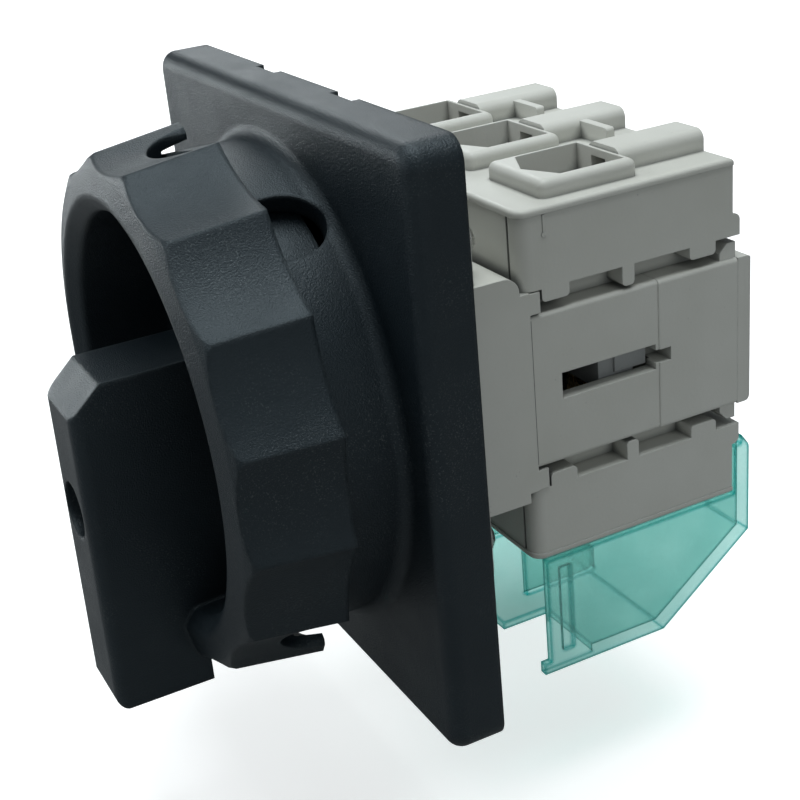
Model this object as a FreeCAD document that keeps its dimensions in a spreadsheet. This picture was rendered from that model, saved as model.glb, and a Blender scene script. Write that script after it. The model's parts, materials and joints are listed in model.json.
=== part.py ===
import FreeCAD, Part
import os
import re

import Sketcher

# Rotary main switch for a panel. The shaft runs along Y, the handle faces -Y, +Z is up and
# y = 0 is the plane where the plate lies on the panel. All sizes in millimetres and degrees.

SIZES = {
    # masking plate and its padlock collar
    "plate_side": 67.0,
    "plate_depth": 6.0,
    "plate_wall": 2.4,
    "plate_corner": 2.5,
    "plate_edge": 1.8,
    "notch_width": 5.0,
    "notch_spacing": 20.0,
    "notch_depth": 0.9,
    "collar_wall": 2.3,
    "collar_end": 16.0,
    "cove_radius": 1.4,
    "shackle_radius": 4.1,
    "shackle_seat": 15.9,
    "turned_seat": 10.8,
    "lock_step": 33.75,
    "lock_right": 135.0,
    "lock_left": 225.0,
    # fixing plate, its bearing and the parts round the hub
    "fixing_thickness": 3.0,
    "fixing_gap": 0.3,
    "fixing_pitch": 36.0,
    "bearing_wall": 3.0,
    "bearing_front": 6.4,
    "seal_section": 1.4,
    "seal_gap": 0.3,
    "gasket_inset": 5.0,
    "gasket_width": 3.0,
    "gasket_thickness": 1.2,
    "hub_radius": 8.0,
    "running_gap": 0.05,
    "hub_flange_radius": 12.0,
    "hub_flange_thickness": 2.4,
    "clip_thickness": 0.8,
    "clip_width": 2.2,
    # handle ring and bowl
    "ring_wall": 1.9,
    "ring_taper": 1.2,
    "ring_back": 13.4,
    "ring_shoulder": 23.25,
    "rim_out": 5.6,
    "rim_outer_depth": 24.6,
    "shoulder_drop": 0.45,
    "shoulder_width": 1.0,
    "crest_out": 2.5,
    "crest_depth": 25.3,
    "mouth_out": 0.7,
    "mouth_depth": 23.85,
    "bowl_radius": 22.7,
    "bowl_depth": 12.0,
    "bowl_floor": 2.0,
    "drum_back": 7.5,
    "drum_wall": 2.5,
    "drum_gap": 0.5,
    "skirt_gap": 1.2,
    "skirt_taper": 0.7,
    "skirt_end_gap": 0.6,
    "flute_count": 16.0,
    "flute_depth": 1.45,
    "flute_radius": 22.0,
    "slot_front": 19.3,
    "slot_flare": 1.5,
    "rim_round": 0.9,
    "bowl_round": 1.5,
    # grip blade
    "blade_width": 10.0,
    "blade_front": 33.95,
    "blade_draft": 0.65,
    "blade_top": 7.4,
    "blade_reach": 1.9,
    "blade_back": 22.8,
    "blade_root": 1.0,
    "blade_chamfer_depth": 3.85,
    "blade_chamfer_height": 3.5,
    "blade_round": 1.4,
    "recess_radius": 3.4,
    "recess_depth": 5.5,
    "recess_drop": 8.7,
    "grip_screw_head": 2.7,
    "grip_screw_head_height": 2.0,
    "grip_screw_radius": 1.5,
    "grip_screw_gap": 0.1,
    # shaft, fixing screws and panel
    "shaft_side": 5.0,
    "shaft_gap": 0.05,
    "shaft_chamfer": 0.4,
    "shaft_front": 8.0,
    "panel_room": 3.5,
    "lug_thickness": 3.0,
    "lug_radius": 4.0,
    "screw_radius": 2.0,
    "thread_radius": 1.75,
    "screw_head_radius": 3.8,
    "screw_head_depth": 2.0,
    "screw_tail": 2.0,
    "screw_point": 0.5,
    "screw_gap": 0.1,
    # switch body
    "body_width": 45.0,
    "front_top": 14.1,
    "front_bottom": 13.0,
    "front_round": 1.9,
    "front_rear": 12.8,
    "shell_wall": 1.8,
    "clip_arm_rear": 14.1,
    "clip_arm_inner": 9.3,
    "clip_arm_outer": 11.7,
    "clip_arm_length": 3.0,
    "middle_top": 9.1,
    "middle_rear": 29.5,
    "slot_start": 16.5,
    "slot_end": 29.1,
    "slot_half": 1.55,
    "rear_end": 40.6,
    "rear_notch_length": 1.6,
    "rear_notch_half": 0.8,
    "rear_notch_depth": 3.0,
    "heel_start": 38.4,
    "heel_slope": 1.0,
    "heel_rise": 1.9,
    "heel_foot": 0.8,
    "side_step": 0.15,
    "side_round": 0.5,
    "seam_round": 0.2,
    "cover_end": 43.2,
    "cover_round": 1.5,
    "joint_gap": 0.1,
    # terminal blocks
    "block_low": 11.8,
    "block_top": 20.9,
    "block_front": 11.9,
    "block_gap": 0.3,
    "block_rear": 40.0,
    "block_inset": 0.2,
    "block_corner": 1.6,
    "block_lip": 0.8,
    "block_lip_out": 0.15,
    "block_lip_round": 0.5,
    "face_groove_inset": 2.1,
    "face_groove_width": 0.4,
    "face_groove_depth": 0.3,
    "tab_rise": 1.2,
    "tab_round": 0.5,
    "peg_rise": 0.4,
    "front_tab_start": 14.5,
    "front_tab_end": 18.0,
    "rear_tab_start": 34.0,
    "rear_tab_end": 37.6,
    "tab_thickness": 3.0,
    "peg_start": 24.9,
    "peg_end": 26.5,
    "ear_high": 14.4,
    "ear_out": 1.0,
    "ear_round": 0.8,
    "pole_margin": 0.3,
    "entry_width": 11.2,
    "entry_start": 16.2,
    "entry_end": 28.7,
    "entry_rise": 2.0,
    "entry_wall": 1.1,
    "entry_corner": 19.4,
    "entry_round": 0.9,
    "ridge_half": 3.0,
    "ridge_rise": 2.5,
    "ridge_top_round": 1.2,
    "ridge_end": 39.6,
    "rib_start": 33.2,
    "rib_thickness": 1.1,
    "rib_rise": 2.1,
    "rib_length": 5.2,
    "rib_round": 0.4,
    "probe_left": 1.7,
    "probe_right": 1.0,
    "probe_low": 20.2,
    "probe_high": 22.0,
    "probe_depth": 3.0,
    # contacts and clamps
    "contact_width": 5.0,
    "contact_thickness": 1.2,
    "contact_play": 0.3,
    "contact_low": 3.4,
    "contact_top": 19.4,
    "tip_radius": 1.7,
    "tip_thickness": 0.6,
    "tip_height": 5.3,
    "clamp_half": 4.2,
    "clamp_wall": 0.9,
    "clamp_low": 13.6,
    "clamp_top": 19.6,
    "clamp_rear": 28.6,
    "clamp_gap": 0.25,
    "clamp_screw_radius": 1.75,
    "clamp_screw_height": 16.7,
    "clamp_screw_head": 2.6,
    "clamp_screw_end": 33.5,
    "clamp_screw_head_length": 2.2,
    "clamp_screw_tip": 26.6,
    "tunnel_gap": 0.3,
    # rotor, carrier and moving contacts
    "rotor_radius": 6.5,
    "rotor_front": 5.5,
    "rotor_rear": 16.2,
    "journal_radius": 5.0,
    "groove_depth": 1.4,
    "groove_width": 3.0,
    "pin_radius": 1.3,
    "pin_gap": 0.2,
    "pin_rest": 13.4,
    "carrier_travel": 4.5,
    "switch_angle": 90.0,
    "run_out_angle": 18.0,
    "flange_radius": 9.5,
    "flange_thickness": 1.0,
    "flange_flat": 8.6,
    "leaf_thickness": 0.4,
    "leaf_width": 1.6,
    "leaf_gap": 0.3,
    "leaf_half": 8.0,
    "post_height": 1.5,
    "post_width": 3.0,
    "post_depth": 3.0,
    "arm_gap": 0.4,
    "arm_thickness": 1.9,
    "arm_half": 2.4,
    "beam_front": 22.7,
    "beam_rear": 27.4,
    "beam_wall": 0.7,
    "beam_half": 3.0,
    "beam_gap": 0.35,
    "lug_half": 1.25,
    "side_lug_front": 24.7,
    "side_lug_rear": 28.9,
    "side_lug_depth": 1.9,
    "window_half": 3.0,
    "bridge_front": 23.6,
    "bridge_thickness": 0.9,
    "bridge_half": 2.5,
    "bridge_reach": 7.0,
    "spring_radius": 1.5,
    "spring_wire": 0.4,
    "spring_turns": 3.0,
    # terminal cover
    "cover_wall": 1.0,
    "cover_front": 13.2,
    "cover_top": 21.2,
    "cover_bottom": 36.4,
    "cover_bend": 29.4,
    "cover_heel_height": 26.7,
    "cover_rear": 42.4,
    "cover_rise": 15.0,
    "cover_peak": 13.5,
    "cover_top_round": 1.2,
    "cover_foot_out": 1.0,
    "cover_foot_high": 1.4,
    "bead_start": 15.5,
    "bead_end": 17.0,
    "bead_high": 23.3,
    "bead_low": 34.7,
    "bead_thickness": 0.5,
    "cover_gap": 0.3,
    "partition_thickness": 0.8,
    "partition_front": 19.0,
    "exit_depth": 6.3,
    "exit_width": 10.0,
}

doc = FreeCAD.newDocument("rotary_main_switch")
sheet = doc.addObject("Spreadsheet::Sheet", "Sizes")
for row, (alias, number) in enumerate(SIZES.items(), start=1):
    sheet.set(f"A{row}", str(number))
    sheet.setAlias(f"A{row}", alias)
doc.recompute()

SUB_PARTS = []
UPPER, LOWER = "1", "-1"

# How far cuts run past the solid that they cut, and pads into the solid that they join
PAST = "1"

# Radii and places that follow from several sizes: the bowl sets the drum round it, the collar
# that the drum turns in and the ring outside the collar
DRUM = "(bowl_radius + drum_wall)"
COLLAR = f"({DRUM} + drum_gap + collar_wall)"
RING = f"({COLLAR} + skirt_gap + ring_wall)"
CREST = "(bowl_radius + crest_out)"
BLADE_FOOT = f"({RING} + blade_reach)"
GASKET_HALF = "(plate_side / 2 - gasket_inset)"
PITCH = "((body_width - 2 * pole_margin) / 3)"
POLES = {"left": f"-{PITCH}", "middle": "0", "right": PITCH}
BLOCK_HALF = "(body_width / 2 - block_inset)"
CONTACT_FRONT = "bridge_front - 2 * tip_thickness - carrier_travel - contact_play - contact_thickness"


def ref(text):
    """The expression with each size's name turned into a reference to its cell."""
    text = str(text)
    return re.sub(r"[a-z][a-z_]+", lambda word: f"Sizes.{word[0]}" if word[0] in SIZES else word[0], text)


def size(text):
    """The number that an expression of sizes comes to."""
    return float(sheet.evalExpression(ref(text)))


def new_body(name, loose=False):
    body = doc.addObject("PartDesign::Body", name)
    body.Label = name
    body.AllowCompound = loose
    SUB_PARTS.append(body)
    return body


def plane_of(body, role):
    return next(feature for feature in body.Origin.OriginFeatures if feature.Role == role)


def new_sketch(body, name, plane, offset="0"):
    """A sketch on one of the body's origin planes, moved along the plane's normal."""
    sketch = body.newObject("Sketcher::SketchObject", name)
    sketch.AttachmentSupport = (plane_of(body, plane), [""])
    sketch.MapMode = "FlatFace"
    sketch.setExpression("AttachmentOffset.Base.z", ref(offset))
    return sketch


def pin_down(sketch, geometry, point, across, up):
    """Holds one point of the sketch at a place given by two expressions."""
    for kind, text, axis in (("DistanceX", across, -2), ("DistanceY", up, -1)):
        if abs(size(text)) < 1e-9:
            sketch.addConstraint(Sketcher.Constraint("PointOnObject", geometry, point, axis))
        else:
            index = sketch.addConstraint(Sketcher.Constraint(kind, -1, 1, geometry, point, size(text)))
            sketch.setExpression(f"Constraints[{index}]", ref(text))


def draw_polygon(sketch, corners):
    spots = [FreeCAD.Vector(size(across), size(up), 0) for across, up in corners]
    first = sketch.GeometryCount
    count = len(corners)
    for index in range(count):
        sketch.addGeometry(Part.LineSegment(spots[index], spots[(index + 1) % count]), False)
    for index in range(count):
        following = first + (index + 1) % count
        sketch.addConstraint(Sketcher.Constraint("Coincident", first + index, 2, following, 1))
    for index, (across, up) in enumerate(corners):
        pin_down(sketch, first + index, 1, across, up)


def draw_circle(sketch, across, up, radius):
    centre = FreeCAD.Vector(size(across), size(up), 0)
    index = sketch.addGeometry(Part.Circle(centre, FreeCAD.Vector(0, 0, 1), size(radius)), False)
    pin_down(sketch, index, 3, across, up)
    constraint = sketch.addConstraint(Sketcher.Constraint("Radius", index, size(radius)))
    sketch.setExpression(f"Constraints[{constraint}]", ref(radius))


def box_outline(across_low, across_high, up_low, up_high):
    return [
        (across_low, up_low),
        (across_high, up_low),
        (across_high, up_high),
        (across_low, up_high),
    ]


def draw(sketch, shapes):
    for shape in shapes:
        if len(shape) == 3 and not isinstance(shape[0], tuple):
            draw_circle(sketch, *shape)
        else:
            draw_polygon(sketch, shape)


# What each origin plane's normal is in terms of the axis that it crosses
NORMAL_SIGN = {"XY_Plane": 1, "XZ_Plane": -1, "YZ_Plane": 1}


def solid_between(body, name, plane, low, high, shapes, cut=False):
    """Pads or pockets shapes drawn on a plane, from one coordinate on the plane's axis to another."""
    forward = NORMAL_SIGN[plane] > 0
    starts_low = forward != cut
    start = low if starts_low else high
    sketch = new_sketch(body, f"{name}_outline", plane, start if forward else f"-({start})")
    draw(sketch, shapes)
    feature = body.newObject("PartDesign::Pocket" if cut else "PartDesign::Pad", name)
    feature.Profile = sketch
    feature.Type = "Length"
    feature.setExpression("Length", ref(f"({high}) - ({low})"))
    sketch.Visibility = False
    return made(body, feature, cut)


def made(body, feature, cut):
    """Recomputes and makes sure that the feature adds or takes away material."""
    base = feature.BaseFeature
    before = base.Shape.Volume if base else 0.0
    doc.recompute()
    if not feature.isValid():
        raise RuntimeError(f"{body.Label}: {feature.Label} can't be made")
    changed = feature.Shape.Volume - before
    if (changed > -1e-6) if cut else (changed < 1e-6):
        raise RuntimeError(f"{body.Label}: {feature.Label} changes nothing")
    return feature


def pad(body, name, plane, low, high, *shapes):
    return solid_between(body, name, plane, low, high, shapes)


def pocket(body, name, plane, low, high, *shapes):
    return solid_between(body, name, plane, low, high, shapes, cut=True)


def turned(body, name, outline, x="0", z="0", cut=False):
    """A solid of revolution, or a groove, about an axis along Y, from an outline of (y, radius)."""
    sketch = new_sketch(body, f"{name}_profile", "YZ_Plane", x)
    sketch.setExpression("AttachmentOffset.Base.y", ref(z))
    draw_polygon(sketch, outline)
    feature = body.newObject("PartDesign::Groove" if cut else "PartDesign::Revolution", name)
    feature.Profile = sketch
    feature.ReferenceAxis = (sketch, ["H_Axis"])
    feature.Angle = 360.0
    sketch.Visibility = False
    return made(body, feature, cut)


def around(body, feature, name, count, angle="360"):
    """Copies a feature round the Y axis."""
    pattern = body.newObject("PartDesign::PolarPattern", name)
    pattern.Originals = feature if isinstance(feature, list) else [feature]
    pattern.Axis = (next(f for f in body.Origin.OriginFeatures if f.Role == "Y_Axis"), [""])
    pattern.setExpression("Angle", ref(angle))
    pattern.setExpression("Occurrences", ref(count))
    body.Tip = pattern
    doc.recompute()
    return pattern


def kept(edge, **places):
    """Whether an edge stays at the given places: x, y, z as they are, wide and tall as |x| and |z|."""
    box = edge.BoundBox
    spans = {"x": (box.XMin, box.XMax), "y": (box.YMin, box.YMax), "z": (box.ZMin, box.ZMax)}
    for key, place in places.items():
        low, high = spans[{"wide": "x", "tall": "z"}.get(key, key)]
        middle = (low + high) / 2
        if key in ("wide", "tall"):
            middle = abs(middle)
        if high - low > 0.02 or abs(middle - size(place)) > 0.01:
            return False
    return True


def pick(feature, *choices):
    """Names of the edges that lie at any of the given sets of places."""
    edges = feature.Shape.Edges
    names = [f"Edge{n}" for n, edge in enumerate(edges, start=1) if any(kept(edge, **c) for c in choices)]
    if not names:
        raise RuntimeError(f"{feature.Label}: no edge at {choices}")
    return names


def rings(feature, radius, depth):
    """Names of the round edges about Y with that radius at that y."""
    found = []
    for n, edge in enumerate(feature.Shape.Edges, start=1):
        curve = edge.Curve
        if not isinstance(curve, Part.Circle):
            continue
        on_axis = abs(curve.Center.x) < 1e-4 and abs(curve.Center.z) < 1e-4
        if on_axis and abs(curve.Radius - size(radius)) < 0.01 and abs(curve.Center.y - size(depth)) < 0.01:
            found.append(f"Edge{n}")
    return found


def round_off(body, feature, name, radius, edges, kind="Fillet"):
    rounded = body.newObject(f"PartDesign::{kind}", name)
    rounded.Base = (feature, edges)
    rounded.setExpression("Radius" if kind == "Fillet" else "Size", ref(radius))
    doc.recompute()
    if not rounded.isValid():
        raise RuntimeError(f"{body.Label}: {name} can't be made")
    return rounded


def masking_plate():
    body = new_body("masking_plate")
    half = "plate_side / 2"
    slab = pad(body, "slab", "XZ_Plane", "-plate_depth", "0", box_outline(f"-{half}", half, f"-{half}", half))
    corners = round_off(
        body, slab, "corners", "plate_corner",
        pick(slab, {"wide": half, "tall": half}),
    )
    front = round_off(
        body, corners, "front_edge", "plate_edge",
        pick(corners, {"y": "-plate_depth"}),
    )
    collar = pad(
        body, "collar", "XZ_Plane", "-collar_end", "-plate_depth / 2", ("0", "0", COLLAR)
    )
    cove = round_off(body, collar, "cove", "cove_radius", rings(collar, COLLAR, "-plate_depth"))
    inner = "plate_side / 2 - plate_wall"
    pocket(body, "back_recess", "XZ_Plane", "-(plate_depth - plate_wall)", "0",
           box_outline(f"-({inner})", inner, f"-({inner})", inner))
    pocket(body, "collar_bore", "XZ_Plane", "-collar_end", "0", ("0", "0", f"{COLLAR} - collar_wall"))
    lock_notches(body)
    release_notches(body)
    return body


def lock_notches(body):
    """Notches in the collar's end: a shallow one behind each shackle slot, a deeper one a step further."""
    for name, angle in {"top": "0", "right": "lock_right", "left": "lock_left"}.items():
        collar_notch(body, f"{name}_shackle", "shackle_seat", angle)
        collar_notch(body, f"{name}_turned", "turned_seat", f"{angle} + lock_step")


def collar_notch(body, name, seat, angle):
    radius = "shackle_radius"
    mouth = box_outline(f"-{radius}", radius, f"-collar_end - {PAST}", f"-{seat}")
    radial_cut(body, f"{name}_mouth", angle, f"{COLLAR} + {PAST}", mouth)
    radial_cut(body, f"{name}_seat", angle, f"{COLLAR} + {PAST}", ("0", f"-{seat}", radius))


def radial_cut(body, name, angle, reach, shape):
    """Cuts a shape from the shaft's axis outwards, towards an angle from +Z to +X."""
    sketch = new_sketch(body, f"{name}_outline", "XY_Plane")
    sketch.AttachmentOffset = FreeCAD.Placement(
        FreeCAD.Vector(), FreeCAD.Rotation(FreeCAD.Vector(0, 1, 0), size(angle)))
    draw(sketch, [shape])
    feature = body.newObject("PartDesign::Pocket", name)
    feature.Profile = sketch
    feature.Type = "Length"
    feature.Reversed = True
    feature.setExpression("Length", ref(reach))
    sketch.Visibility = False
    return made(body, feature, cut=True)


def release_notches(body):
    """Two notches in the top back edge where a blade lifts the plate off."""
    half = "notch_width / 2"
    top = "plate_side / 2"
    places = ("-notch_spacing / 2", "notch_spacing / 2")
    pocket(body, "release_notches", "XY_Plane", f"{top} - plate_wall - {PAST}", top,
           *[box_outline(f"{place} - {half}", f"{place} + {half}", "-notch_depth", "0") for place in places])


def corner_places():
    half = "fixing_pitch / 2"
    return {"upper_right": (half, half), "upper_left": (f"-{half}", half),
            "lower_left": (f"-{half}", f"-{half}"), "lower_right": (half, f"-{half}")}


def fixing_plate():
    body = new_body("fixing_plate")
    half = "plate_side / 2 - plate_wall - fixing_gap"
    bore = "hub_radius + running_gap"
    slab = pad(body, "slab", "XZ_Plane", "-fixing_thickness", "0",
               box_outline(f"-({half})", half, f"-({half})", half))
    round_off(body, slab, "corners", "plate_edge", pick(slab, {"wide": half, "tall": half}))
    pad(body, "bearing", "XZ_Plane", "-bearing_front", "-fixing_thickness / 2",
        ("0", "0", f"{bore} + bearing_wall"))
    seal_room = "seal_gap + seal_section + running_gap"
    clip_depth = "2 * clip_thickness"
    turned(body, "bore", [
        (f"-bearing_front - {PAST}", "0"),
        (f"-bearing_front - {PAST}", f"hub_radius + {seal_room}"),
        ("-bearing_front + seal_section", f"hub_radius + {seal_room}"),
        ("-bearing_front + seal_section", bore),
        (f"-{clip_depth}", bore),
        (f"-{clip_depth}", "hub_radius + clip_width + seal_gap"),
        (PAST, "hub_radius + clip_width + seal_gap"),
        (PAST, "0"),
    ], cut=True)
    outer, inner = f"{GASKET_HALF} + joint_gap", f"{GASKET_HALF} - gasket_width - joint_gap"
    pocket(body, "gasket_groove", "XZ_Plane", "-gasket_thickness", "0",
           box_outline(f"-({outer})", outer, f"-({outer})", outer),
           box_outline(f"-({inner})", inner, f"-({inner})", inner))
    for name, (x, z) in corner_places().items():
        turned(body, f"{name}_hole", [
            (f"-fixing_thickness - {PAST}", "0"),
            (f"-fixing_thickness - {PAST}", "screw_head_radius + screw_gap"),
            ("-fixing_thickness", "screw_head_radius + screw_gap"),
            ("-fixing_thickness + screw_head_depth", "screw_radius + screw_gap"),
            (PAST, "screw_radius + screw_gap"),
            (PAST, "0"),
        ], x, z, cut=True)
    return body


def fixing_screws():
    """Countersunk screws: plain across the panel's room, at the thread's core size elsewhere."""
    body = new_body("fixing_screws", loose=True)
    tail = "panel_room + lug_thickness + screw_tail"
    for name, (x, z) in corner_places().items():
        turned(body, name, [
            ("-fixing_thickness", "0"),
            ("-fixing_thickness", "screw_head_radius"),
            ("-fixing_thickness + screw_head_depth", "thread_radius"),
            ("0", "thread_radius"),
            ("0", "screw_radius"),
            ("panel_room", "screw_radius"),
            ("panel_room", "thread_radius"),
            (f"{tail} - screw_point", "thread_radius"),
            (tail, "thread_radius - screw_point"),
            (tail, "0"),
        ], x, z)
    return body


def panel_gasket():
    body = new_body("panel_gasket")
    outer, inner = GASKET_HALF, f"{GASKET_HALF} - gasket_width"
    pad(body, "frame", "XZ_Plane", "-gasket_thickness", "0",
        box_outline(f"-{outer}", outer, f"-{outer}", outer),
        box_outline(f"-({inner})", inner, f"-({inner})", inner))
    return body


def shaft_seal():
    body = new_body("shaft_seal")
    inner = "hub_radius + seal_gap"
    ring = turned(body, "ring", [
        ("-bearing_front", inner),
        ("-bearing_front", f"{inner} + seal_section"),
        ("-bearing_front + seal_section", f"{inner} + seal_section"),
        ("-bearing_front + seal_section", inner),
    ])
    round_off(body, ring, "lips", "seal_section / 4",
              rings(ring, inner, "-bearing_front") + rings(ring, f"{inner} + seal_section", "-bearing_front"))
    return body


def handle_knob():
    """Fluted ring, bowl and grip blade, moulded in one piece, with three slots for shackles."""
    body = new_body("handle_knob")
    groove_end = "-(collar_end + skirt_end_gap)"
    turned(body, "ring", [
        ("-ring_back", RING),
        ("-ring_shoulder", f"{RING} - ring_taper"),
        ("-(rim_outer_depth - shoulder_drop)", "bowl_radius + rim_out + shoulder_width"),
        ("-rim_outer_depth", "bowl_radius + rim_out"),
        ("-crest_depth", CREST),
        ("-mouth_depth", "bowl_radius + mouth_out"),
        ("-bowl_depth", "bowl_radius"),
        ("-bowl_depth", "0"),
        ("-(bowl_depth - bowl_floor)", "0"),
        ("-(bowl_depth - bowl_floor)", "bowl_radius"),
        ("-drum_back", "bowl_radius"),
        ("-drum_back", DRUM),
        (groove_end, DRUM),
        (groove_end, f"{COLLAR} + skirt_gap - skirt_taper"),
        ("-ring_back", f"{COLLAR} + skirt_gap"),
    ])
    fluted = flutes(body)
    round_off(body, fluted, "bowl_corner", "bowl_round", rings(fluted, "bowl_radius", "-bowl_depth"))
    grip_blade(body)
    last = shackle_slots(body)
    crest = rings(last, CREST, "-crest_depth") + rings(last, "bowl_radius + mouth_out", "-mouth_depth")
    round_off(body, last, "rim", "rim_round", crest)
    return body


def flutes(body):
    """Concave flutes round the ring: each is cut by a cone whose axis runs beside the ring."""
    widening = "ring_taper / (ring_shoulder - ring_back)"
    past_front = "(rim_outer_depth - ring_shoulder + 2 * shoulder_width)"
    flute = turned(body, "flute", [
        (f"-ring_back + {PAST}", "0"),
        (f"-ring_back + {PAST}", f"flute_radius - {PAST} * {widening}"),
        (f"-ring_shoulder - {past_front}",
         f"flute_radius + (ring_shoulder + {past_front} - ring_back) * {widening}"),
        (f"-ring_shoulder - {past_front}", "0"),
    ], z=f"{RING} - flute_depth + flute_radius", cut=True)
    return around(body, flute, "flutes", "flute_count")


def grip_blade(body):
    half = "blade_width / 2"
    in_wall = "(bowl_radius + blade_root)"
    in_rim = f"({CREST} - blade_root)"
    in_floor = "-(bowl_depth - bowl_floor / 2)"
    pad(body, "blade", "YZ_Plane", f"-{half}", half, [
        (in_floor, "blade_top"),
        ("-(blade_front - blade_chamfer_depth)", "blade_top"),
        ("-blade_front", "blade_top - blade_chamfer_height"),
        ("-(blade_front + blade_draft)", f"-{BLADE_FOOT}"),
        ("-blade_back", f"-{BLADE_FOOT}"),
        ("-blade_back", f"-{in_rim}"),
        ("-(collar_end + skirt_end_gap + blade_root)", f"-{in_wall}"),
        (in_floor, f"-{in_wall}"),
    ])
    pocket(body, "screw_recess", "XZ_Plane", f"-(blade_front + {PAST})", "-(blade_front - recess_depth)",
           ("0", "-recess_drop", "recess_radius"))
    drilled = pocket(body, "screw_hole", "XZ_Plane", f"-(blade_front - {PAST})", "-(bowl_depth - bowl_floor)",
                     ("0", "-recess_drop", "grip_screw_radius + grip_screw_gap"))
    round_off(body, drilled, "blade_rounding", "blade_round", blade_edges(drilled, half))


def blade_edges(blade, half):
    """Names of the long edges of the blade's front and of the edges round its lower end."""
    names = []
    for number, edge in enumerate(blade.Shape.Edges, start=1):
        box = edge.BoundBox
        on_flank = box.XLength < 0.01 and abs(abs(box.XMin) - size(half)) < 0.01
        is_long = box.ZLength > size("blade_chamfer_height")
        along_front = on_flank and is_long and box.YMax < -size("blade_front") + 0.01
        at_foot = box.ZMax < -size(BLADE_FOOT) + 0.01 and box.YMax < -size("blade_back") - 0.01
        if along_front or at_foot:
            names.append(f"Edge{number}")
    return names


def shackle_slots(body):
    """Holes through the bowl's wall for a padlock's shackle, open at the ring's back and flared outside."""
    radius = "shackle_radius"
    centre = f"-(slot_front - {radius})"
    in_bowl = "bowl_radius - bowl_floor / 4"
    high = f"{RING} + {PAST}"
    outlines = {"round": (in_bowl, ("0", centre, radius)),
                "mouth": (DRUM, box_outline(f"-{radius}", radius, centre, "0"))}
    cuts = []
    for name, (low, outline) in outlines.items():
        cuts.append(pocket(body, f"slot_{name}", "XY_Plane", low, high, outline))
        cuts.append(flared_cut(body, f"slot_{name}_flare", f"{RING} - slot_flare", high, outline))
    for side in ("right", "left"):
        last = around(body, cuts, f"{side}_slot", "2", f"lock_{side}")
    return last


def flared_cut(body, name, low, high, shape):
    """Cuts a shape upwards from one height to another, with sides that lean out by 45 degrees."""
    sketch = new_sketch(body, f"{name}_outline", "XY_Plane", low)
    draw(sketch, [shape])
    feature = body.newObject("PartDesign::Pocket", name)
    feature.Profile = sketch
    feature.Type = "Length"
    feature.Reversed = True
    feature.setExpression("Length", ref(f"({high}) - ({low})"))
    feature.TaperAngle = 45.0
    sketch.Visibility = False
    return made(body, feature, cut=True)


def handle_screw():
    body = new_body("handle_screw")
    seat = "-(blade_front - recess_depth)"
    turned(body, "screw", [
        (f"{seat} - grip_screw_head_height", "0"),
        (f"{seat} - grip_screw_head_height", "grip_screw_head"),
        (seat, "grip_screw_head"),
        (seat, "grip_screw_radius"),
        ("-(bowl_depth - bowl_floor - hub_flange_thickness)", "grip_screw_radius"),
        ("-(bowl_depth - bowl_floor - hub_flange_thickness)", "0"),
    ], z="-recess_drop")
    return body


def handle_hub():
    """Coupling behind the knob: a flange that the grip screw pulls on, and the turning hub."""
    body = new_body("handle_hub")
    back = "-(bowl_depth - bowl_floor)"
    clip_front = "-(2 * clip_thickness - running_gap)"
    turned(body, "hub", [
        (back, "0"),
        (back, "hub_flange_radius"),
        (f"{back} + hub_flange_thickness", "hub_flange_radius"),
        (f"{back} + hub_flange_thickness", "hub_radius"),
        (clip_front, "hub_radius"),
        (clip_front, "hub_radius - clip_thickness"),
        (f"{clip_front} + clip_thickness + running_gap", "hub_radius - clip_thickness"),
        (f"{clip_front} + clip_thickness + running_gap", "hub_radius"),
        ("-running_gap", "hub_radius"),
        ("-running_gap", "0"),
    ])
    half = "shaft_side / 2 + shaft_gap"
    pocket(body, "shaft_socket", "XZ_Plane", "-shaft_front", "0",
           box_outline(f"-({half})", half, f"-({half})", half))
    pocket(body, "screw_thread", "XZ_Plane", back, "0",
           ("0", "-recess_drop", "grip_screw_radius + running_gap"))
    return body


def hub_circlip():
    body = new_body("hub_circlip")
    front = "-(2 * clip_thickness - 2 * running_gap)"
    inner = "hub_radius - clip_thickness + running_gap"
    turned(body, "ring", [
        (front, inner),
        (front, "hub_radius + clip_width - running_gap"),
        (f"{front} + clip_thickness", "hub_radius + clip_width - running_gap"),
        (f"{front} + clip_thickness", inner),
    ])
    pocket(body, "gap", "XZ_Plane", "-3 * clip_thickness", "0",
           box_outline("-clip_width", "clip_width", "0", "2 * hub_radius"))
    return body


def drive_shaft():
    body = new_body("drive_shaft")
    half = "shaft_side / 2"
    bar = pad(body, "bar", "XZ_Plane", "-shaft_front", "rotor_rear",
              box_outline(f"-{half}", half, f"-{half}", half))
    round_off(body, bar, "ends", "shaft_chamfer",
              pick(bar, {"y": "-shaft_front"}, {"y": "rotor_rear"}), kind="Chamfer")
    return body


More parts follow.
